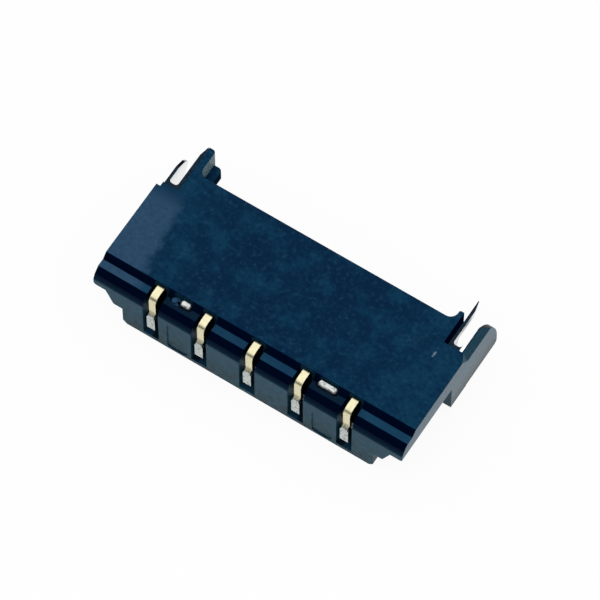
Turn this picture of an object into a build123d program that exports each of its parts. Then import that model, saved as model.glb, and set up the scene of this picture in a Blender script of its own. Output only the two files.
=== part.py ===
"""Surface-mount battery connector with five spring contacts.

X runs along the row of contacts, Y from the contact face to the rear, Z up from
the board. The origin is the centre of the footprint, on the board.
"""
import os
from math import asin, cos, sin

from build123d import *

# Contact row
contact_count = 5
pitch = 2.5

# Housing, overall
end_margin = 2.96
body_height = 3.45
plate_depth = 5.35
flange_thickness = 1.30

# Front face, from the top plate's edge outwards and down
upper_chamfer = 0.28
ledge_width = 0.37
lower_chamfer = 0.29
shoulder_run = 0.13
shoulder_drop = 0.30

# Lower body, narrower than the flange at both ends
haunch_height = 0.90
haunch_inset = 0.62
haunch_draft = 0.38
base_inset = 1.47
base_chamfer = 0.20
base_setback = 0.30
haunch_radius = 0.12
flange_radius = 0.15

# End blocks that carry the hold-down clips, and the guide arm on the right
end_block_start = 4.02
end_block_inner = 1.45
end_clearance = 0.50
slot_base = 5.28
arm_tip = 7.80
arm_thickness = 0.30
arm_bottom = 0.55
arm_crest = 6.67
arm_nose_height = 0.50
arm_heel_radius = 0.20
arm_top_width = 0.05
arm_bevel_drop = 0.55
arm_bevel_start = 4.85
arm_bevel_run = 0.45
left_end_cut = 0.24
left_end_width = 0.20
corner_radius = 0.12

# Rear edge of the plate: a tab on the right, a rib and a nub on the left
tab_tip = 6.95
tab_outer = 1.22
tab_width = 0.22
tab_fillet = 0.40
rib_tip = 7.80
rib_outer = 0.99
rib_width = 0.34
rib_fillet = 0.38
nub_tip = 7.62
nub_width = 0.44
nub_drop = 1.00
nub_height = 0.60

# Slots that the contacts sit in
slot_width = 0.80
slot_reach = 1.05
slot_floor = 0.25
slot_corner = 0.10

# Contacts, stamped strip
strip_thickness = 0.15
contact_width = 0.35
neck_width = 0.30
foot_width = 0.42
foot_offset = 0.03
contact_recess = 0.18
foot_recess = 0.05
kink_depth = 0.16
crown_drop = 0.04
crown_radius = 0.32
crown_heel_radius = 0.10
inner_gap = 0.035
tip_height = 0.80
foot_length = 1.08
neck_length = 0.32
run_height = 0.90
tail_gap = 0.08
tail_length = 0.95
bend_radius = 0.12
rail_width = 0.50
rail_clearance = 0.035

# Hollows in the underside, between the contacts' rails
core_width = 1.20
core_length = 2.90
core_depth = 1.55
core_start = 1.90
core_radius = 0.20

# Anchor pins, in oval pockets between the outer contacts
pin_size = 0.30
pin_corner = 0.11
pin_top_gap = 0.12
pin_chamfer = 0.05
pin_clearance = 0.01
pin_left_width = 0.48
pin_right_width = 0.92
pin_left_offset = 0.21
pin_right_offset = 0.00
pocket_length = 1.15
pocket_width = 0.42
pocket_depth = 0.14
pocket_offset = 0.12
pocket_setback = 0.23
vent_radius = 0.08
vent_offset = 0.14
vent_depth = 0.35
boss_radius = 0.13
boss_offset = 0.37
boss_height = 0.08

# Shallow panels in the front wall below the pockets
panel_offset = 0.45
panel_width = 1.04
panel_depth = 0.045
panel_bottom = 0.16
panel_top_left = 2.30
panel_top_right = 2.05
panel_radius = 0.25

# Hold-down clips, folded sheet
clip_thickness = 0.15
clip_width = 0.72
clip_outer_right = 0.30
clip_outer_left = 0.24
clip_top_gap = 0.05
clip_leg_bottom = 1.20
inner_leg_length = 2.51
inner_leg_point = 0.50
inner_leg_edge = 0.04
inner_leg_height = 0.36
leg_gusset_length = 0.35
leg_end_height = 0.20
clip_bend = 0.15
outer_leg_length = 1.67
outer_leg_nose = 0.70
outer_leg_nose_drop = 0.50
outer_leg_right_drop = 0.60
tang_length = 0.80
tang_bottom = 1.50
tang_top = 2.70
tang_clearance = 0.01
foot_plate_length = 1.30
fold_gap = 0.02

# Places worked out from the sizes above
body_length = (contact_count - 1) * pitch + 2 * end_margin
front_run = upper_chamfer + ledge_width + lower_chamfer + shoulder_run
total_depth = arm_tip
y_front = -total_depth / 2
y_edge = y_front + front_run
y_rear = y_edge + plate_depth
y_base_rear = y_rear - base_setback
half_length = body_length / 2
flange_bottom = body_height - flange_thickness
ledge_height = body_height - upper_chamfer
haunch_bottom = flange_bottom - haunch_height
far_beyond = total_depth

contact_places = [(index - (contact_count - 1) / 2) * pitch for index in range(contact_count)]
pin_places = {
    "left": (contact_places[0] + contact_places[1]) / 2 - pocket_offset,
    "right": (contact_places[-2] + contact_places[-1]) / 2 - pocket_offset,
}
panel_places = {
    "left": contact_places[0] + slot_width / 2 + panel_offset + panel_width / 2,
    "right": contact_places[-2] + slot_width / 2 + panel_offset + panel_width / 2,
}
pin_widths = {"left": pin_left_width, "right": pin_right_width}
pin_offsets = {"left": pin_left_offset, "right": pin_right_offset}
clip_outers = {"left": clip_outer_left, "right": clip_outer_right}


def block(x_range, y_range, z_range):
    """A box between two places on each axis."""
    sizes = [high - low for low, high in (x_range, y_range, z_range)]
    corner = (x_range[0], y_range[0], z_range[0])
    return Pos(*corner) * Box(*sizes, align=(Align.MIN, Align.MIN, Align.MIN))


def panel(x_range, y_range):
    """A rectangle in plan between two places on each axis."""
    width = x_range[1] - x_range[0]
    depth = y_range[1] - y_range[0]
    return Pos(sum(x_range) / 2, sum(y_range) / 2) * Rectangle(width, depth)


def along_x(points, x_range):
    """A side profile, in Y and Z, carried along X."""
    face = make_face(Polyline(*[(0, y, z) for y, z in points], close=True))
    return Pos(x_range[0], 0, 0) * extrude(face, x_range[1] - x_range[0], dir=(1, 0, 0))


def along_y(points, y_range):
    """A front profile, in X and Z, carried along Y."""
    face = make_face(Polyline(*[(x, 0, z) for x, z in points], close=True))
    return Pos(0, y_range[0], 0) * extrude(face, y_range[1] - y_range[0], dir=(0, 1, 0))


def side_range(side, inner, outer):
    """The X range between two distances in from one end of the housing."""
    if side == "right":
        return (half_length - inner, half_length - outer)
    return (-half_length + outer, -half_length + inner)


def plate_outline():
    """The top plate in plan, with its rear tab and rib."""
    root = y_rear - corner_radius
    outline = panel((-half_length, half_length), (y_front, y_rear))
    tab = panel(side_range("right", tab_outer + tab_width, tab_outer), (root, y_front + tab_tip))
    rib = panel(side_range("left", rib_outer + rib_width, rib_outer), (root, y_front + rib_tip))
    outline = outline + tab + rib
    outline = outline - clip_slot("right", tab_outer) - clip_slot("left", rib_outer)
    outline = outline - left_end_notch()
    inside = [
        (half_length - tab_outer - tab_width, y_rear, tab_fillet),
        (-half_length + rib_outer + rib_width, y_rear, rib_fillet),
        (half_length - tab_outer - tab_width, y_front + tab_tip, tab_width * 0.4),
        (-half_length + rib_outer + rib_width, y_front + rib_tip, rib_width * 0.45),
    ]
    for x, y, radius in inside:
        corner = outline.vertices().sort_by_distance(Vector(x, y, 0))[0]
        outline = fillet(corner, radius)
    return outline


def clip_slot(side, inner):
    """The plan of the slot that a hold-down clip stands in, open to the rear."""
    outer = arm_thickness if side == "right" else -corner_radius
    return panel(side_range(side, inner, outer), (y_front + slot_base, far_beyond))


def left_end_notch():
    """The left side wall stops short of the slot, because that end has no arm."""
    y_start = y_front + slot_base - left_end_cut
    return panel(side_range("left", left_end_width, -corner_radius), (y_start, far_beyond))


def front_silhouette():
    """Side profile that gives the front its chamfers, ledge and wall."""
    points = [(far_beyond, 0), (far_beyond, body_height), (y_edge, body_height)]
    y = y_edge - upper_chamfer
    z = ledge_height
    points.append((y, z))
    y -= ledge_width
    points.append((y, z))
    y -= lower_chamfer
    z -= lower_chamfer
    points.append((y, z))
    points.append((y_front, z - shoulder_drop))
    points.append((y_front, 0))
    return along_x(points, (-half_length, half_length))


def lower_body():
    """The stepped body below the flange, with its core hollows."""
    top = half_length - haunch_inset
    waist = top - haunch_draft
    base = half_length - base_inset
    points = [(top, flange_bottom), (waist, haunch_bottom), (base, haunch_bottom)]
    points += [(base, base_chamfer), (base - base_chamfer, 0)]
    points += [(-x, z) for x, z in reversed(points)]
    haunch_end = y_front + end_block_start
    body = along_y(points, (y_front, haunch_end))
    edges = body.edges().filter_by(Axis.Y)
    waists = [edge for edge in edges if abs(edge.center().Z - haunch_bottom) < haunch_radius / 2]
    waists = [edge for edge in waists if abs(edge.center().X) > base + haunch_radius / 2]
    body = fillet(waists, haunch_radius)
    body += block((-base, base), (haunch_end, y_base_rear), (0, flange_bottom))
    hollow = RectangleRounded(core_width, core_length, core_radius)
    hollow = extrude(hollow, core_depth)
    y_hollow = y_front + core_start + core_length / 2
    for left, right in zip(contact_places, contact_places[1:]):
        body -= Pos((left + right) / 2, y_hollow, 0) * hollow
    return body


def flange_rounding(side):
    """What rounding the flange's lower edge removes, in front of the end block."""
    sign = 1 if side == "right" else -1
    y_range = (y_front - flange_radius, y_front + end_block_start)
    corner = block((0, flange_radius), y_range, (0, flange_radius))
    length = y_range[1] - y_range[0]
    rod = Rot(90, 0, 0) * Cylinder(flange_radius, length)
    corner -= Pos(0, sum(y_range) / 2, flange_radius) * rod
    turned = corner if sign > 0 else mirror(corner, Plane.YZ)
    return Pos(sign * (half_length - flange_radius), 0, flange_bottom) * turned


def nub():
    """The low rounded nub on the inner side of the left rib."""
    inner = rib_outer + rib_width
    x_range = side_range("left", inner + nub_width, inner - corner_radius)
    outline = panel(x_range, (y_base_rear - corner_radius, y_front + nub_tip))
    tips = [corner for corner in outline.vertices() if corner.Y > y_base_rear]
    outline = fillet(tips, nub_width * 0.45)
    return Pos(0, 0, body_height - nub_drop - nub_height) * extrude(outline, nub_height)


def end_block(side):
    """The block at one end that closes the clip's slot, with the clip's tang slit."""
    inner = end_block_inner
    y_range = (y_front + end_block_start, y_front + slot_base)
    body = block(side_range(side, inner, 0), y_range, (end_clearance, flange_bottom))
    if side == "left":
        y_start = y_front + slot_base - left_end_cut
        cut = block(side_range(side, left_end_width, 0), (y_start, far_beyond), (0, body_height))
        body -= cut
    return body


def guide_arm():
    """The plastic arm beside the right slot, with a rounded nose and a bevelled top."""
    y_root = y_front + slot_base - corner_radius
    y_crest = y_front + arm_crest
    y_tip = y_front + arm_tip
    z_nose = arm_bottom + arm_nose_height
    drop = body_height - z_nose
    reach = y_tip - y_crest
    nose_radius = (reach**2 + drop**2) / (2 * reach)
    half_angle = asin(drop / nose_radius) / 2
    y_bow = y_tip - nose_radius * (1 - cos(half_angle))
    z_bow = z_nose + nose_radius * sin(half_angle)
    x = half_length - arm_thickness
    top = Line((x, y_root, body_height), (x, y_crest, body_height))
    nose = ThreePointArc((x, y_crest, body_height), (x, y_bow, z_bow), (x, y_tip, z_nose))
    rest = Polyline((x, y_tip, z_nose), (x, y_tip, arm_bottom), (x, y_root, arm_bottom), top @ 0)
    arm = extrude(make_face([top, nose, rest]), arm_thickness, dir=(1, 0, 0))
    heel = arm.edges().filter_by(Axis.X).sort_by_distance(Vector(x, y_tip, arm_bottom))[0]
    return fillet(heel, arm_heel_radius)


def arm_bevel():
    """What the bevel on the right arm's outer top edge removes."""
    x_top = half_length - arm_thickness + arm_top_width
    y_full = y_front + arm_bevel_start + arm_bevel_run
    low = Vector(half_length, y_full, body_height - arm_bevel_drop)
    inner = Vector(x_top, y_full, body_height)
    corner = Vector(half_length, y_full, body_height)
    section = make_face(Polyline(low, inner, corner, close=True))
    start = Vector(half_length, y_full - arm_bevel_run, body_height)
    lead = loft([Vertex(start), section])
    return extrude(section, total_depth, dir=(0, 1, 0)) + lead


def contact_slot(place):
    """The hollow for one contact: a slot in the front and a rail below."""
    x_range = (place - slot_width / 2, place + slot_width / 2)
    y_range = (y_front - slot_reach, y_front + slot_reach)
    slot = block(x_range, y_range, (slot_floor, body_height + slot_floor))
    inner = [edge for edge in slot.edges().filter_by(Axis.Z) if edge.center().Y > y_front]
    slot = fillet(inner, slot_corner)
    x_range = (place - rail_width / 2, place + rail_width / 2)
    y_range = (y_front + slot_reach - slot_corner, y_base_rear + rail_width)
    ceiling = run_height + strip_thickness / 2 + rail_clearance
    return slot + block(x_range, y_range, (-rail_width, ceiling))


def pin_hollow(side):
    """The oval pocket of one anchor pin, its square hole and its vent."""
    y = y_edge - pocket_setback
    place = pin_places[side]
    oval = SlotOverall(pocket_length, pocket_width)
    floor = ledge_height - pocket_depth
    hollow = Pos(place, y, floor) * extrude(oval, flange_thickness)
    x = place + pin_offsets[side]
    half_width = pin_widths[side] / 2 + pin_clearance
    half_size = pin_size / 2 + pin_clearance
    y_range = (y - half_size, y + half_size)
    hollow += block((x - half_width, x + half_width), y_range, (-pocket_depth, body_height))
    return hollow


def pin_vent():
    """A small blind hole beside the left pin."""
    place = pin_places["left"] - vent_offset
    floor = ledge_height - pocket_depth
    hole = Cylinder(vent_radius, vent_depth)
    return Pos(place, y_edge - pocket_setback, floor - vent_depth / 2) * hole


def pocket_boss():
    """A low round boss at the outer end of the left pocket."""
    place = pin_places["left"] - boss_offset
    floor = ledge_height - pocket_depth
    boss = Cylinder(boss_radius, boss_height * 2)
    return Pos(place, y_edge - pocket_setback, floor) * boss


def wall_panel(side):
    """A shallow recess in the front wall, with round corners."""
    top = panel_top_left if side == "left" else panel_top_right
    height = top - panel_bottom
    outline = RectangleRounded(panel_width, height, panel_radius)
    face = Plane.XZ * Pos(panel_places[side], panel_bottom + height / 2) * outline
    return Pos(0, y_front + panel_depth, 0) * extrude(face, total_depth)


def housing():
    """The moulded housing, one piece."""
    plate = Pos(0, 0, flange_bottom) * extrude(plate_outline(), flange_thickness)
    body = plate + lower_body() + end_block("left") + end_block("right")
    body = (body & front_silhouette()) + guide_arm() + nub() - arm_bevel()
    for place in contact_places:
        body -= contact_slot(place)
    for side in pin_places:
        body -= pin_hollow(side)
        body -= wall_panel(side)
        body -= flange_rounding(side)
        body -= tang_block(side, tang_clearance)
    body += pocket_boss()
    body -= pin_vent()
    return body


def contact_path():
    """Middle line of the contact's strip, from its free tip to its solder tail."""
    half = strip_thickness / 2
    y_leg = y_front + contact_recess + half
    y_foot = y_front + foot_recess + half
    y_inner = y_front + slot_reach - inner_gap - half
    y_tail = y_base_rear + tail_gap + half
    z_crown = body_height - crown_drop - half
    z_foot = tip_height + foot_length
    z_neck = z_foot + neck_length
    points = [
        (y_foot, tip_height),
        (y_foot, z_foot),
        (y_foot + kink_depth, z_foot + neck_length * 0.45),
        (y_leg, z_neck + neck_length * 0.2),
        (y_leg, z_crown),
        (y_inner, z_crown),
        (y_inner, run_height),
        (y_tail, run_height),
        (y_tail, half),
        (y_tail + tail_length, half),
    ]
    radii = [bend_radius] * 3 + [crown_radius, crown_heel_radius] + [bend_radius + half] * 3
    return FilletPolyline(*[(0, y, z) for y, z in points], radius=radii)


def contact(place):
    """One spring contact, stamped with a narrow neck and a square foot."""
    path = contact_path()
    section = Plane(origin=path @ 0, x_dir=(1, 0, 0), z_dir=path % 0)
    strip = sweep(section * Rectangle(rail_width, strip_thickness), path=path)
    y_range = (y_front - slot_reach, y_front + slot_reach - inner_gap / 2)
    z_neck = tip_height + foot_length + neck_length
    side = rail_width
    waist = tip_height + foot_length
    outline = [
        (contact_width / 2, body_height),
        (contact_width / 2, z_neck),
        (neck_width / 2, waist + neck_length / 3),
        (neck_width / 2, waist),
        (foot_width / 2, waist - neck_length / 3),
        (foot_width / 2, 0),
    ]
    for sign in (-1, 1):
        points = [(sign * x - (foot_offset if z < z_neck else 0), z) for x, z in outline]
        points += [(sign * side, 0), (sign * side, body_height)]
        strip -= along_y(points, y_range)
    return Pos(place, 0, 0) * strip


def anchor_pin(side):
    """A flat pin through the front wall, a little lower than the plate."""
    top = body_height - pin_top_gap
    pin = Box(pin_widths[side], pin_size, top, align=(Align.CENTER, Align.CENTER, Align.MIN))
    pin = fillet(pin.edges().filter_by(Axis.Z), pin_corner)
    upper = pin.faces().sort_by(Axis.Z)[-1].edges()
    pin = chamfer(upper, pin_chamfer)
    return Pos(pin_places[side] + pin_offsets[side], y_edge - pocket_setback, 0) * pin


def clip_faces(side):
    """Distances in from the end of the housing to the clip's two outer faces."""
    outer = clip_outers[side]
    return outer + clip_width, outer


def tang_block(side, clearance):
    """The tang that holds a clip in its end block, or the slit for it."""
    inner, _ = clip_faces(side)
    x_range = side_range(side, inner + clearance, inner - clip_thickness - clearance)
    y_end = y_front + slot_base
    y_range = (y_end - tang_length - clearance, y_end + fold_gap + clip_thickness / 2)
    return block(x_range, y_range, (tang_bottom - clearance, tang_top + clearance))


def inner_leg_profile(y_web, top):
    """Side view of a clip's inner leg: a gusset at the web, then a slim spike."""
    tip = y_front + slot_base + inner_leg_length
    y_inner = y_web + clip_thickness + clip_bend
    return [
        (y_web, clip_leg_bottom),
        (y_inner, clip_leg_bottom + clip_bend),
        (y_inner + leg_gusset_length, top - inner_leg_height),
        (tip - inner_leg_point, top - inner_leg_height),
        (tip, top - inner_leg_edge),
        (tip, top),
        (y_web, top),
    ]


def outer_leg_profile(side, y_web, top):
    """Side view of a clip's outer leg: high at the left end, behind the arm at the right."""
    tip = y_front + slot_base + outer_leg_length
    y_nose = tip - outer_leg_nose
    drop = outer_leg_right_drop if side == "right" else 0
    nose = top - drop - outer_leg_nose_drop
    return [
        (y_web, clip_leg_bottom),
        (y_nose, clip_leg_bottom),
        (tip, nose - leg_end_height),
        (tip, nose),
        (tip - outer_leg_nose * 0.3, top - drop - outer_leg_nose_drop * 0.4),
        (y_nose, top - drop),
        (y_web + clip_thickness + clip_bend * 2, top - drop),
        (y_web + clip_thickness + clip_bend, top),
        (y_web, top),
    ]


def sharpened(side, leg, tip):
    """A leg whose outer face slopes in towards its tip, seen in plan."""
    inner, _ = clip_faces(side)
    x_in, x_out = inner, inner - clip_thickness
    points = [
        (x_in, y_front),
        (x_out, y_front),
        (x_out, tip - inner_leg_point),
        (x_in - inner_leg_edge, tip),
        (x_in, tip),
    ]
    sign = 1 if side == "right" else -1
    points = [(sign * (half_length - x), y) for x, y in points]
    plan = make_face(Polyline(*points, close=True))
    return leg & extrude(plan, body_height, dir=(0, 0, 1))


def clip_bends(side, y_web, top):
    """The metal inside the two bends where the legs fold out of the web."""
    inner, outer = clip_faces(side)
    x_range = side_range(side, inner - clip_thickness, outer + clip_thickness)
    room = block(x_range, (y_web, y_web + clip_bend), (clip_leg_bottom + clip_bend, top))
    width = x_range[1] - x_range[0]
    middle = panel(x_range, (y_web, y_web + clip_bend * 2))
    corners = [corner for corner in middle.vertices() if corner.Y < y_web + clip_bend]
    hollow = fillet(corners, min(clip_bend, width / 3))
    return room - extrude(hollow, body_height, dir=(0, 0, 1))


def hold_down(side):
    """One hold-down clip: two legs, a web, a tang and a solder foot."""
    inner, outer = clip_faces(side)
    top = body_height - clip_top_gap
    y_web = y_front + slot_base + fold_gap
    web_range = (y_web, y_web + clip_thickness)
    web = block(side_range(side, inner, outer), web_range, (0, top))
    foot_range = (y_web, y_web + foot_plate_length)
    foot = block(side_range(side, inner, outer), foot_range, (0, clip_thickness))
    inner_range = side_range(side, inner, inner - clip_thickness)
    inner_leg = along_x(inner_leg_profile(y_web, top), inner_range)
    inner_leg = sharpened(side, inner_leg, y_front + slot_base + inner_leg_length)
    outer_range = side_range(side, outer + clip_thickness, outer)
    outer_leg = along_x(outer_leg_profile(side, y_web, top), outer_range)
    bends = clip_bends(side, y_web + clip_thickness, top)
    return web + foot + inner_leg + outer_leg + bends + tang_block(side, 0)


def save(shape, name):
    """Write one sub-part, under its own name."""
    shape.label = name
    export_step(shape, f"parts/{name}.step")


os.makedirs("parts", exist_ok=True)
save(housing(), "housing")
for number, place in enumerate(contact_places, start=1):
    save(contact(place), f"contact_{number}")
for side in ("left", "right"):
    save(anchor_pin(side), f"anchor_pin_{side}")
    save(hold_down(side), f"hold_down_{side}")
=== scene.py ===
"""Looks of the battery connector: materials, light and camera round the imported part."""

import math

import bpy
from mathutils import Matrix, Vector


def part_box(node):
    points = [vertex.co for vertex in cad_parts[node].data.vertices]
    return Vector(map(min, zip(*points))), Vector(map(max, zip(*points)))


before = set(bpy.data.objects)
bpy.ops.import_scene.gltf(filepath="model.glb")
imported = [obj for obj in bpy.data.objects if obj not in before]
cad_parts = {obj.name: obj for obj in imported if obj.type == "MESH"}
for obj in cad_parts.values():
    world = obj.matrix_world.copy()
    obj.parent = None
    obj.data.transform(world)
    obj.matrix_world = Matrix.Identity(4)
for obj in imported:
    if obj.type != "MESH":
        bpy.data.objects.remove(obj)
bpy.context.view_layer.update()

MM = 0.001
WHITE = (1.0, 1.0, 1.0, 1.0)

# View of the photograph
VIEW_AZIMUTH = 32.7
VIEW_ELEVATION = 63.3
VIEW_DISTANCE = 227 * MM
VIEW_LENS = 314.4
SENSOR_WIDTH = 36.0
VIEW_TARGET = Vector((0.42, -0.27, 3.45)) * MM
VIEW_NEAR = 10 * MM
VIEW_FAR = 10.0

# Places on the part, in millimetres, measured from the housing's faces
housing_low, housing_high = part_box("housing")
FRONT_Y = housing_low.y / MM
RIGHT_X = housing_high.x / MM
TOP_Z = housing_high.z / MM
LEDGE_Y = FRONT_Y + 0.95
SLOT_START_Y = FRONT_Y + 5.20
PLATE_REAR_Y = FRONT_Y + 6.42
OUTER_ARM_X = RIGHT_X - 0.76
END_FACE_X = RIGHT_X - 0.30
PLATE_Z = TOP_Z - 0.02
# A contact's face behind this that looks forward is the inside of its bend
HEEL_Y = FRONT_Y + 0.60

# Places in millimetres from the part's origin
# A contact's gold ends at this height over the board
NECK_Z = 2.05
# The rib lies left of this, and the nub right of it
RIB_X = -6.50
# The painted shade on the clips' upper edges stops here, and the right clip's corner stays bright beyond
# this
BRIGHT_CORNER_X = 7.52

# A limit is a pair: a mask is gone at its first value and whole at its second.
# Limits by place
ON_PLATE = (PLATE_Z - 0.10, PLATE_Z)
ON_LEDGE = (LEDGE_Y + 0.05, LEDGE_Y - 0.05)
ON_FRONT_WALL = (LEDGE_Y + 0.20, LEDGE_Y)
UNDER_LEDGE = (2.35, 2.80)
UP_THE_WALL = (0.30, 2.20)
PIN_BAY_FROM = (2.50, 2.60)
PIN_BAY_TO = (5.00, 4.90)
NEAR_ENDS = (3.50, 7.00)
AT_END = (END_FACE_X - 0.10, END_FACE_X)
BEHIND_PLATE = (PLATE_REAR_Y - 0.10, PLATE_REAR_Y)
IN_SLOT = (SLOT_START_Y - 0.10, SLOT_START_Y)
INSIDE_ARM = (OUTER_ARM_X + 0.01, OUTER_ARM_X - 0.01)
LEFT_OF_RIB_EDGE = (RIB_X + 0.01, RIB_X - 0.01)
RIGHT_OF_RIB_EDGE = (RIB_X - 0.01, RIB_X + 0.01)
LEFT_HALF = (0.01, -0.01)
RIGHT_HALF = (-0.01, 0.01)
FRONT_HALF = (0.01, -0.01)
IN_GOLD = (NECK_Z - 0.10, NECK_Z + 0.15)
BEHIND_HEEL = (HEEL_Y - 0.05, HEEL_Y + 0.05)
INSIDE_CORNER = (BRIGHT_CORNER_X + 0.03, BRIGHT_CORNER_X - 0.03)

# Limits by the way a face looks, as a share of its normal
FLAT = (0.85, 0.97)
UPRIGHT = (0.60, 0.32)
SQUARE_TO_ROW = (0.970, 0.995)
LOOKS_RIGHT = (0.50, 0.70)
LOOKS_UP = (0.30, 0.60)
LOOKS_FORWARD = (-0.30, -0.60)
SHEARED_SIDE = (0.70, 0.95)

# Limits by how much of a pattern shows
CLOUDY = (0.42, 0.72)
DARK_SPECKLED = (0.50, 0.30)
PALE_SPECKLED = (0.50, 0.76)
WALL_MOTTLED = (0.35, 0.70)
PALE_MOTTLED = (0.30, 0.70)
BLOTCHED = (0.40, 0.62)
TORN = (0.36, 0.60)
TARNISHED = (0.50, 0.62)
CRYSTALLINE = (0.30, 0.62)

# Patterns, with a scale from the width of their spots in millimetres
CLOUDS = {"Scale": 1 / 1.111, "Detail": 3.0, "Roughness": 0.55}
SPECKS = {"Scale": 1 / 0.20, "Detail": 4.0, "Roughness": 0.65}
BLOTCHES = {"Scale": 1 / 0.1429, "Detail": 3.0, "Roughness": 0.6}
TEARS = {"Scale": 1 / 0.0909, "Detail": 2.0, "Roughness": 0.6}
PALE_OUTLINE = {"Scale": 1 / 0.625, "Detail": 3.0, "Roughness": 0.6}
WEAR = {"Scale": 1 / 0.1667, "Detail": 3.0, "Roughness": 0.6}
TARNISH = {"Scale": 1 / 0.1538, "Detail": 3.0, "Roughness": 0.7}
SHEET_SPOTS = {"Scale": 1 / 0.25, "Detail": 3.0, "Roughness": 0.6}
# The real grain is a few thousandths of a millimetre, and is drawn coarser so that it shows
GRAIN = {"Scale": 1 / 0.025, "Detail": 2.0, "Roughness": 0.6}
GRAIN_HEIGHT = 0.01 * MM
GRAIN_STRENGTH = 0.25

# Roughness, where a pattern is lowest and where it is highest
SATIN = {"To Min": 0.32, "To Max": 0.42}
RUBBED = {"To Min": 0.24, "To Max": 0.38}
FROSTED_WIRE = {"To Min": 0.30, "To Max": 0.42}
FROSTED_SHEET = {"To Min": 0.22, "To Max": 0.32}

# The moulding's gloss, at the foot and the head of its ends, and on the plate and by the pins
END_GLOSS = {"To Min": 0.15, "To Max": 1.15}
PLATE_GLOSS = {"To Min": 0.35, "To Max": 0.10}
# How strongly the moulding mirrors light without gloss, and with a gloss of one
MIRRORED = {"To Min": 0.04, "To Max": 0.50}
POLYMER_IOR = 1.55

# How much lighter the skin is towards the ends and on the ledge
ENDS_LIGHTER = 0.5
LEDGE_LIGHTER = 0.6

# How much tarnish shows on the nickel and on the gold, and how far the gold's edge wanders
MOST_TARNISH = {"To Min": 0.80, "To Max": 0.12}
GOLD_WANDER = 0.15

# The painted reflection at the plate's left end, a paler patch: its slanting, ragged edge and where it
# fades
PALE_SLANT = 0.14
PALE_RAGGED_Y = 1.20
PALE_TO_LEFT = (-5.60, -6.20)
PALE_TO_FRONT = (2.10, 0.90)

# Marks: a centre, and half the size along and across
SMUDGES = [
    ((-3.1, -2.0), (0.35, 0.30)),
    ((0.95, -2.45), (0.60, 0.12)),
    ((1.2, -2.2), (0.12, 0.40)),
    ((5.6, 0.6), (0.50, 0.25)),
]
SMUDGE_STRENGTH = 0.6
SMUDGE_FADE = (1.0, 0.0)
# The scratch is painted bright, a painted glint on it
SCRATCH_CENTRE = (6.70, 0.66)
SCRATCH_HALF_SIZE = (0.181, 0.06)
SCRATCH_TURN = 83.7
SCRATCH_STRENGTH = 0.75
SCRATCH_FADE = (1.2, 0.1)
BOSS_CENTRE = (-4.17, -3.07)
BOSS_HALF_SIZE = (0.21, 0.21)
BOSS_EDGE = (1.01, 0.99)
# Taller than the part, because a mark takes no account of height
MARK_HEIGHT = 1000.0

# Sharp edges catch the light over these radii, worked out from a few samples
HOUSING_EDGE = 0.035
CONTACT_EDGE = 0.030
PIN_EDGE = 0.025
EDGE_SAMPLES = 4

# The dome of light: its strength below the low height of the sky, and above the high one
DOME_LOW = 0.35
DOME_HIGH = 0.75
DOME_DIM = 0.15
DOME_BRIGHT = 1.35

# How much of the floor's white is its own glow, as seen and as mirrored; the rest takes the shadow
FLOOR_SEEN = 0.93
FLOOR_MIRRORED = 0.95
FLOOR_SIZE = 1.2
FLOOR_GAP = 0.02 * MM


def linear(colour):
    """A colour written as sRGB hex, as the linear values Blender works in."""
    channels = [int(colour[i : i + 2], 16) / 255 for i in (1, 3, 5)]
    values = [c / 12.92 if c <= 0.04045 else ((c + 0.055) / 1.055) ** 2.4 for c in channels]
    return (*values, 1.0)


def add(tree, kind, inputs=(), **settings):
    """Adds a node with its settings and links, and gives back its outputs."""
    node = tree.nodes.new(kind)
    for key, value in settings.items():
        setattr(node, key, value)
    for socket, value in dict(inputs).items():
        if isinstance(value, bpy.types.NodeSocket):
            tree.links.new(value, node.inputs[socket])
        else:
            node.inputs[socket].default_value = linear(value) if isinstance(value, str) else value
    return node.outputs


def emptied_tree(owner):
    """The node tree of a new material or world, with nothing in it."""
    owner.use_nodes = True
    owner.node_tree.nodes.clear()
    return owner.node_tree


def blank_material(name):
    """An empty material, its node tree, and the place on the part in millimetres."""
    material = bpy.data.materials.new(name)
    tree = emptied_tree(material)
    point = add(tree, "ShaderNodeTexCoord")["Object"]
    place = add(tree, "ShaderNodeVectorMath", {0: point, "Scale": 1 / MM}, operation="SCALE")["Vector"]
    return material, tree, place


def region(tree, *limits, strength=1.0):
    """A mask with its full strength where every limit is met. Each is a value and its pair."""
    mask = strength
    for value, (gone, whole) in limits:
        inputs = {"Value": value, "From Min": gone, "From Max": whole}
        met = add(tree, "ShaderNodeMapRange", inputs, interpolation_type="SMOOTHSTEP")["Result"]
        mask = add(tree, "ShaderNodeMath", {0: mask, 1: met}, operation="MULTIPLY")["Value"]
    return mask


def layered(tree, colour, *layers):
    """A colour with others laid over it in turn. Each layer is a mask and its colour."""
    for mask, upper in layers:
        colour = add(tree, "ShaderNodeMix", {0: mask, 6: colour, 7: upper}, data_type="RGBA")[2]
    return colour


def spot(tree, place, centre, half_size, turn=0.0):
    """The squared distance from a mark's centre, which is one at the mark's edge."""
    inputs = {
        "Vector": place,
        "Location": (*centre, 0.0),
        "Rotation": (0.0, 0.0, math.radians(turn)),
        "Scale": (*half_size, MARK_HEIGHT),
    }
    away = add(tree, "ShaderNodeMapping", inputs, vector_type="TEXTURE")["Vector"]
    return add(tree, "ShaderNodeVectorMath", {0: away, 1: away}, operation="DOT_PRODUCT")["Value"]


def rounded_normal(tree, radius, grain=None):
    """Normals with the sharp edges softened, and roughened by a grain if one is given."""
    edge = add(tree, "ShaderNodeBevel", {"Radius": radius * MM}, samples=EDGE_SAMPLES)["Normal"]
    if grain is None:
        return edge
    inputs = {"Height": grain, "Strength": GRAIN_STRENGTH, "Distance": GRAIN_HEIGHT, "Normal": edge}
    return add(tree, "ShaderNodeBump", inputs)["Normal"]


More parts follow.
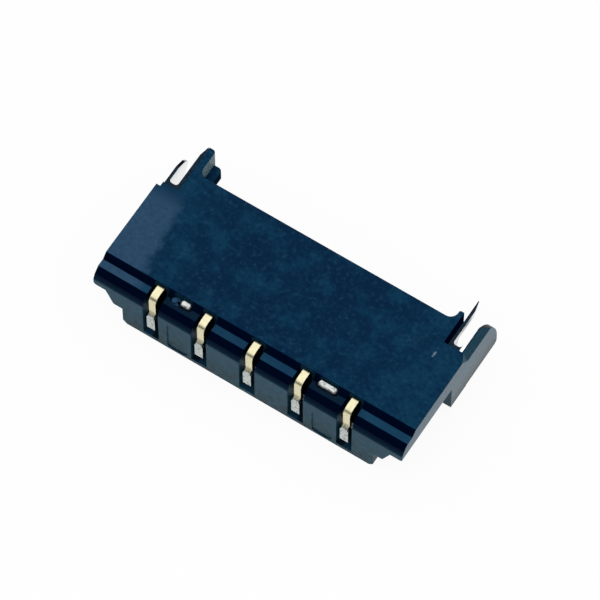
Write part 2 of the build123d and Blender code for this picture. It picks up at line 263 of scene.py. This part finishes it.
def finish_surface(tree, inputs):
    """Joins the surface to the material's output."""
    surface = add(tree, "ShaderNodeBsdfPrincipled", inputs)["BSDF"]
    add(tree, "ShaderNodeOutputMaterial", {"Surface": surface})


def plate_marks(tree, place, on_plate):
    """Masks of the pale smudges on the plate and of the painted glint on its ragged scratch."""
    smudged = 0.0
    for centre, half_size in SMUDGES:
        away = spot(tree, place, centre, half_size)
        near = region(tree, (away, SMUDGE_FADE), strength=SMUDGE_STRENGTH)
        smudged = add(tree, "ShaderNodeMath", {0: smudged, 1: near}, operation="MAXIMUM")["Value"]
    blotches = add(tree, "ShaderNodeTexNoise", {"Vector": place, **BLOTCHES})["Fac"]
    smudged = region(tree, (blotches, BLOTCHED), on_plate, strength=smudged)

    away = spot(tree, place, SCRATCH_CENTRE, SCRATCH_HALF_SIZE, SCRATCH_TURN)
    tears = add(tree, "ShaderNodeTexNoise", {"Vector": place, **TEARS})["Fac"]
    limits = ((away, SCRATCH_FADE), (tears, TORN), on_plate)
    scratch_glint = region(tree, *limits, strength=SCRATCH_STRENGTH)
    return smudged, scratch_glint


def moulded_polymer():
    """Liquid-crystal polymer as moulded: a satin blue-black skin with cloudy flow marks, and painted light
    and shade on some of its faces.
    """
    material, tree, place = blank_material("liquid_crystal_polymer_moulded")
    x, y, z = add(tree, "ShaderNodeSeparateXYZ", {"Vector": place})
    outward = add(tree, "ShaderNodeMath", {0: x}, operation="ABSOLUTE")["Value"]
    facing = add(tree, "ShaderNodeNewGeometry")["True Normal"]
    rightward = add(tree, "ShaderNodeSeparateXYZ", {"Vector": facing})["X"]
    facing = add(tree, "ShaderNodeVectorMath", {0: facing}, operation="ABSOLUTE")["Vector"]
    steepness = add(tree, "ShaderNodeSeparateXYZ", {"Vector": facing})
    clouds = add(tree, "ShaderNodeTexNoise", {"Vector": place, **CLOUDS})["Fac"]
    specks = add(tree, "ShaderNodeTexNoise", {"Vector": place, **SPECKS})["Fac"]
    outline = add(tree, "ShaderNodeTexNoise", {"Vector": place, **PALE_OUTLINE})["Fac"]
    grain = add(tree, "ShaderNodeTexNoise", {"Vector": place, **GRAIN})["Fac"]

    # Zones by the way a face looks, and by its place
    flat = region(tree, (steepness["Z"], FLAT))
    upright = region(tree, (steepness["Z"], UPRIGHT))
    end_face = region(tree, (steepness["X"], SQUARE_TO_ROW), (outward, AT_END))
    rear_face = region(tree, (y, BEHIND_PLATE), (rightward, LOOKS_RIGHT))
    # The rib's right face is painted light grey, a painted highlight
    rib_highlight = region(tree, (x, LEFT_OF_RIB_EDGE), strength=rear_face)
    # The nub is painted dark and matt, a painted shade
    nub_shade = region(tree, (x, RIGHT_OF_RIB_EDGE), (x, LEFT_HALF), strength=rear_face)
    # The right slot's wall is painted near black and matt, a painted shade
    limits = ((y, IN_SLOT), (rightward, LOOKS_RIGHT), (x, RIGHT_HALF), (x, INSIDE_ARM))
    slot_wall_shade = region(tree, *limits)
    high = region(tree, (z, UP_THE_WALL))
    # A dark band painted on the front wall under the ledge, a painted shade
    under_ledge_shade = region(tree, (y, ON_FRONT_WALL), (z, UNDER_LEDGE))
    # The ledge between the outer pins is painted darker and less glossy, a painted shade in its recess
    pin_bay_shade = region(tree, (y, ON_LEDGE), (outward, PIN_BAY_FROM), (outward, PIN_BAY_TO))
    boss = region(tree, (spot(tree, place, BOSS_CENTRE, BOSS_HALF_SIZE), BOSS_EDGE))

    # The left end of the plate is painted paler, with a paler specular tint, a painted reflection
    inputs = {0: y, 1: PALE_SLANT, 2: x}
    slanted = add(tree, "ShaderNodeMath", inputs, operation="MULTIPLY_ADD")["Value"]
    slanted = add(tree, "ShaderNodeMath", {0: slanted, 1: outline}, operation="ADD")["Value"]
    inputs = {0: specks, 1: PALE_RAGGED_Y, 2: y}
    ragged = add(tree, "ShaderNodeMath", inputs, operation="MULTIPLY_ADD")["Value"]
    pale = region(tree, (slanted, PALE_TO_LEFT), (ragged, PALE_TO_FRONT), strength=flat)
    smudged, scratch_glint = plate_marks(tree, place, (z, ON_PLATE))

    # Flow marks: slow clouds with a finer mottle over them. The skin is also lighter towards the ends and
    # on the ledge.
    near_ends = region(tree, (outward, NEAR_ENDS), strength=ENDS_LIGHTER)
    cloudy = region(tree, (clouds, CLOUDY))
    light = add(tree, "ShaderNodeMath", {0: near_ends, 1: cloudy}, operation="ADD")["Value"]
    skin = layered(
        tree,
        "#061e36",
        (light, "#0a2c44"),
        (region(tree, (specks, DARK_SPECKLED)), "#041a32"),
        (region(tree, (specks, PALE_SPECKLED)), "#16384e"),
        (region(tree, (y, ON_LEDGE), strength=LEDGE_LIGHTER), "#1c3e56"),
        (pin_bay_shade, "#0a1c2c"),
        (boss, "#2c4c6c"),
    )
    # Upright faces are painted lighter than the top, a painted lit side, and darker low down, a painted
    # shade near the floor
    lit_wall = layered(
        tree,
        "#14323a",
        (high, "#1a4458"),
        (region(tree, (specks, WALL_MOTTLED)), "#245264"),
        (under_ledge_shade, "#00142a"),
    )
    colour = layered(
        tree,
        "#00061c",
        (upright, lit_wall),
        (flat, skin),
        # The end faces get their own painted lit-side colour, darker low down as a painted shade
        (end_face, layered(tree, "#1c3a3c", (high, "#1a4652"))),
        (rib_highlight, "#6e868e"),
        (slot_wall_shade, "#000c30"),
        (nub_shade, "#0c2032"),
        (pale, layered(tree, "#1e3a56", (region(tree, (specks, PALE_MOTTLED)), "#284660"))),
        (smudged, "#1c3a50"),
        (scratch_glint, "#93a8b4"),
    )

    # Most gloss high on the ends, less on the plate, least by the pins, and none in the slot or on the nub
    end_gloss = add(tree, "ShaderNodeMapRange", {"Value": high, **END_GLOSS})["Result"]
    end_gloss = add(tree, "ShaderNodeMath", {0: end_gloss, 1: end_face}, operation="MULTIPLY")["Value"]
    gloss = add(tree, "ShaderNodeMapRange", {"Value": pin_bay_shade, **PLATE_GLOSS})["Result"]
    gloss = add(tree, "ShaderNodeMath", {0: gloss, 1: flat}, operation="MULTIPLY")["Value"]
    gloss = add(tree, "ShaderNodeMath", {0: gloss, 1: end_gloss}, operation="MAXIMUM")["Value"]
    mirrored = add(tree, "ShaderNodeMapRange", {"Value": gloss, **MIRRORED}, clamp=False)["Result"]
    matt = add(tree, "ShaderNodeMath", {0: slot_wall_shade, 1: nub_shade}, operation="MAXIMUM")["Value"]
    glossy = add(tree, "ShaderNodeMath", {0: 1.0, 1: matt}, operation="SUBTRACT")["Value"]
    mirrored = add(tree, "ShaderNodeMath", {0: mirrored, 1: glossy}, operation="MULTIPLY")["Value"]

    surface = {
        "Base Color": colour,
        "Roughness": add(tree, "ShaderNodeMapRange", {"Value": specks, **SATIN})["Result"],
        "IOR": POLYMER_IOR,
        "Specular IOR Level": mirrored,
        "Specular Tint": layered(tree, "#1e88dc", (light, "#40baff"), (pale, "#98ccf0")),
        "Normal": rounded_normal(tree, HOUSING_EDGE, grain),
    }
    finish_surface(tree, surface)
    return material


def plated_strip():
    """Stamped copper alloy, gold-plated above the neck and nickel-plated below it.

    Its faces are bright and a little tarnished; its sheared sides and the inside of its bend are painted
    dark, a painted shade.
    """
    material, tree, place = blank_material("gold_and_nickel_plated_strip")
    on_part = add(tree, "ShaderNodeSeparateXYZ", {"Vector": place})
    facing = add(tree, "ShaderNodeNewGeometry")["True Normal"]
    facing = add(tree, "ShaderNodeSeparateXYZ", {"Vector": facing})
    sideways = add(tree, "ShaderNodeMath", {0: facing["X"]}, operation="ABSOLUTE")["Value"]
    wear = add(tree, "ShaderNodeTexNoise", {"Vector": place, **WEAR})["Fac"]
    tarnish = add(tree, "ShaderNodeTexNoise", {"Vector": place, **TARNISH})["Fac"]

    # The gold's lower edge is uneven, and the tarnish is mostly on the nickel
    inputs = {0: wear, 1: GOLD_WANDER, 2: on_part["Z"]}
    height = add(tree, "ShaderNodeMath", inputs, operation="MULTIPLY_ADD")["Value"]
    gold = region(tree, (height, IN_GOLD))
    most = add(tree, "ShaderNodeMapRange", {"Value": gold, **MOST_TARNISH})["Result"]
    dull = region(tree, (tarnish, TARNISHED), strength=most)

    # Painted shade: the sheared sides and the inside of the bend are made dark and not metallic
    sheared = region(tree, (sideways, SHEARED_SIDE))
    limits = ((facing["Y"], LOOKS_FORWARD), (on_part["Y"], BEHIND_HEEL), (on_part["Y"], FRONT_HALF))
    bend_shade = region(tree, *limits)
    dark = add(tree, "ShaderNodeMath", {0: sheared, 1: bend_shade}, operation="MAXIMUM")["Value"]

    surface = {
        "Base Color": layered(tree, "#bcc3c0", (gold, "#e0d9b4"), (dull, "#4e5656"), (dark, "#0c0a06")),
        "Metallic": add(tree, "ShaderNodeMath", {0: 1.0, 1: dark}, operation="SUBTRACT")["Value"],
        "Specular IOR Level": 0.0,
        "Roughness": add(tree, "ShaderNodeMapRange", {"Value": wear, **RUBBED})["Result"],
        "Normal": rounded_normal(tree, CONTACT_EDGE),
    }
    finish_surface(tree, surface)
    return material


def tinned_wire():
    """Flat tin-plated wire: light grey, with a slightly uneven shine."""
    material, tree, place = blank_material("tin_plated_wire")
    tin = add(tree, "ShaderNodeTexNoise", {"Vector": place, **WEAR})["Fac"]
    tin = region(tree, (tin, CRYSTALLINE))
    surface = {
        "Base Color": layered(tree, "#868c8c", (tin, "#cfd3d2")),
        "Metallic": 1.0,
        "Roughness": add(tree, "ShaderNodeMapRange", {"Value": tin, **FROSTED_WIRE})["Result"],
        "Normal": rounded_normal(tree, PIN_EDGE),
    }
    finish_surface(tree, surface)
    return material


def tinned_sheet():
    """Tin-plated sheet: bright on its rolled faces; its sheared upper edges are painted dark, a painted
    shade.
    """
    material, tree, place = blank_material("tin_plated_sheet")
    on_part = add(tree, "ShaderNodeSeparateXYZ", {"Vector": place})
    facing = add(tree, "ShaderNodeNewGeometry")["True Normal"]
    upward = add(tree, "ShaderNodeSeparateXYZ", {"Vector": facing})["Z"]
    tin = add(tree, "ShaderNodeTexNoise", {"Vector": place, **SHEET_SPOTS})["Fac"]
    # Painted shade on the upper edges, short of the right clip's corner
    sheared = region(tree, (upward, LOOKS_UP), (on_part["X"], INSIDE_CORNER))
    rolled_face = layered(tree, "#eceeee", (tin, "#f8f8f8"))
    shaded_edge_colour = layered(tree, "#06101a", (tin, "#22303c"))
    surface = {
        "Base Color": layered(tree, rolled_face, (sheared, shaded_edge_colour)),
        "Metallic": 1.0,
        "Roughness": add(tree, "ShaderNodeMapRange", {"Value": tin, **FROSTED_SHEET})["Result"],
    }
    finish_surface(tree, surface)
    return material


def paint(prefix, material):
    """Gives CAD nodes their finish."""
    for name in sorted(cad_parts):
        if name.startswith(prefix):
            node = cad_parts[name]
            node.data.materials.clear()
            node.data.materials.append(material)


def pale_floor():
    """White card that keeps a light shadow of the part."""
    material = bpy.data.materials.new("white_card_floor")
    tree = emptied_tree(material)
    path = add(tree, "ShaderNodeLightPath")
    inputs = {0: path["Is Glossy Ray"], 1: path["Is Transmission Ray"]}
    mirrored = add(tree, "ShaderNodeMath", inputs, operation="MAXIMUM")["Value"]
    inputs = {0: mirrored, 1: FLOOR_MIRRORED}
    mirrored = add(tree, "ShaderNodeMath", inputs, operation="MULTIPLY")["Value"]
    inputs = {0: path["Is Camera Ray"], 1: FLOOR_SEEN}
    seen = add(tree, "ShaderNodeMath", inputs, operation="MULTIPLY")["Value"]
    share = add(tree, "ShaderNodeMath", {0: seen, 1: mirrored}, operation="MAXIMUM")["Value"]
    card = add(tree, "ShaderNodeBsdfDiffuse", {"Color": "#f4f4f4"})["BSDF"]
    glow = add(tree, "ShaderNodeEmission", {"Color": WHITE, "Strength": 1.0})["Emission"]
    both = add(tree, "ShaderNodeMixShader", {0: share, 1: card, 2: glow})["Shader"]
    add(tree, "ShaderNodeOutputMaterial", {"Surface": both})
    bpy.ops.mesh.primitive_plane_add(size=FLOOR_SIZE, location=(0, 0, -FLOOR_GAP))
    floor = bpy.context.object
    floor.name = "floor"
    floor.data.materials.append(material)


def studio_world():
    """White behind the part, and a dome that is bright overhead and dim round the sides."""
    world = bpy.data.worlds.new("studio")
    bpy.context.scene.world = world
    tree = emptied_tree(world)
    sky = add(tree, "ShaderNodeTexCoord")["Generated"]
    inputs = {
        "Value": add(tree, "ShaderNodeSeparateXYZ", {"Vector": sky})["Z"],
        "From Min": DOME_LOW,
        "From Max": DOME_HIGH,
        "To Min": DOME_DIM,
        "To Max": DOME_BRIGHT,
    }
    dome = add(tree, "ShaderNodeMapRange", inputs, interpolation_type="SMOOTHSTEP")["Result"]
    inputs = {0: dome, 1: add(tree, "ShaderNodeLightPath")["Is Camera Ray"]}
    level = add(tree, "ShaderNodeMath", inputs, operation="MAXIMUM")["Value"]
    background = add(tree, "ShaderNodeBackground", {"Color": WHITE, "Strength": level})["Background"]
    add(tree, "ShaderNodeOutputWorld", {"Surface": background})


def direction(azimuth, elevation):
    """From the part towards a place round it; azimuth 0 is the contact face's side."""
    turn, rise = math.radians(azimuth), math.radians(elevation)
    level = math.cos(rise)
    return Vector((math.sin(turn) * level, -math.cos(turn) * level, math.sin(rise)))


def photograph_camera():
    """The camera at the photograph's viewing angle."""
    data = bpy.data.cameras.new("camera")
    data.lens = VIEW_LENS
    data.sensor_width = SENSOR_WIDTH
    data.clip_start = VIEW_NEAR
    data.clip_end = VIEW_FAR
    camera = bpy.data.objects.new("camera", data)
    bpy.context.scene.collection.objects.link(camera)
    back = direction(VIEW_AZIMUTH, VIEW_ELEVATION)
    camera.location = VIEW_TARGET + back * VIEW_DISTANCE
    camera.rotation_mode = "QUATERNION"
    camera.rotation_quaternion = (-back).to_track_quat("-Z", "Y")
    bpy.context.scene.camera = camera


paint("housing", moulded_polymer())
paint("contact_", plated_strip())
paint("hold_down_", tinned_sheet())
paint("anchor_pin_", tinned_wire())
pale_floor()
studio_world()
photograph_camera()
bpy.context.scene.view_settings.view_transform = "Standard"
